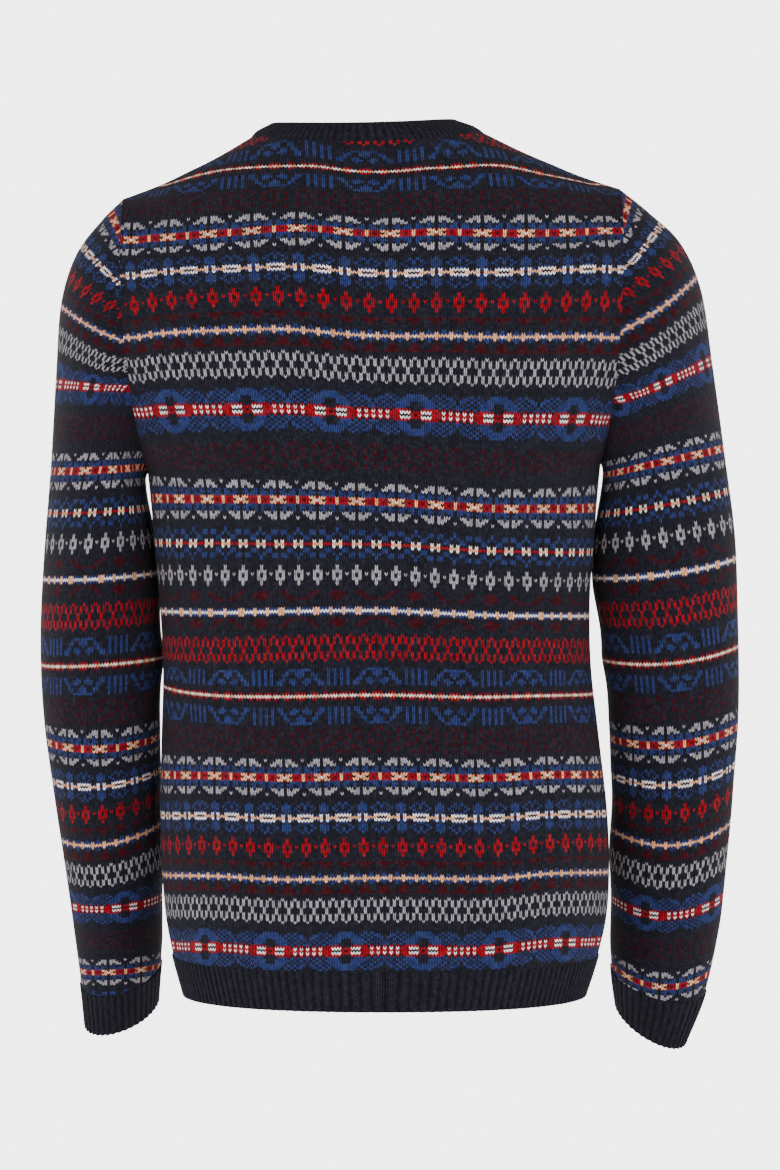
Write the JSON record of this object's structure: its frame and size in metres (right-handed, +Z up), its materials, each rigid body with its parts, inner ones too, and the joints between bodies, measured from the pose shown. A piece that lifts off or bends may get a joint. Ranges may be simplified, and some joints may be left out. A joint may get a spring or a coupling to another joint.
{
  "type": "fair isle jumper",
  "caption": "Fine-knit crew-neck jumper with set-in sleeves, ribbed neckband, cuffs and hem, in its worn form and open inside, with fair isle bands all over.",
  "frame": {"origin": "level with the top of the shoulder seams, in the middle of the neck opening, where the wearer's shoulders carry the jumper", "axes": "+Z up along the garment, -Y to the wearer's front, +X to the wearer's left"},
  "size_m": [0.5572, 0.2453, 0.7466],
  "materials": {
    "patterned_knit": "soft fine-gauge stranded wool knit",
    "rib_knit": "soft ribbed wool knit"
  },
  "bodies": {
    "root": {"back_panel": "patterned_knit", "front_panel": "patterned_knit", "left_sleeve": "patterned_knit", "right_sleeve": "patterned_knit", "back_hem_rib": "rib_knit", "front_hem_rib": "rib_knit", "left_cuff": "rib_knit", "right_cuff": "rib_knit", "neckband": "rib_knit"}
  },
  "joints": []
}
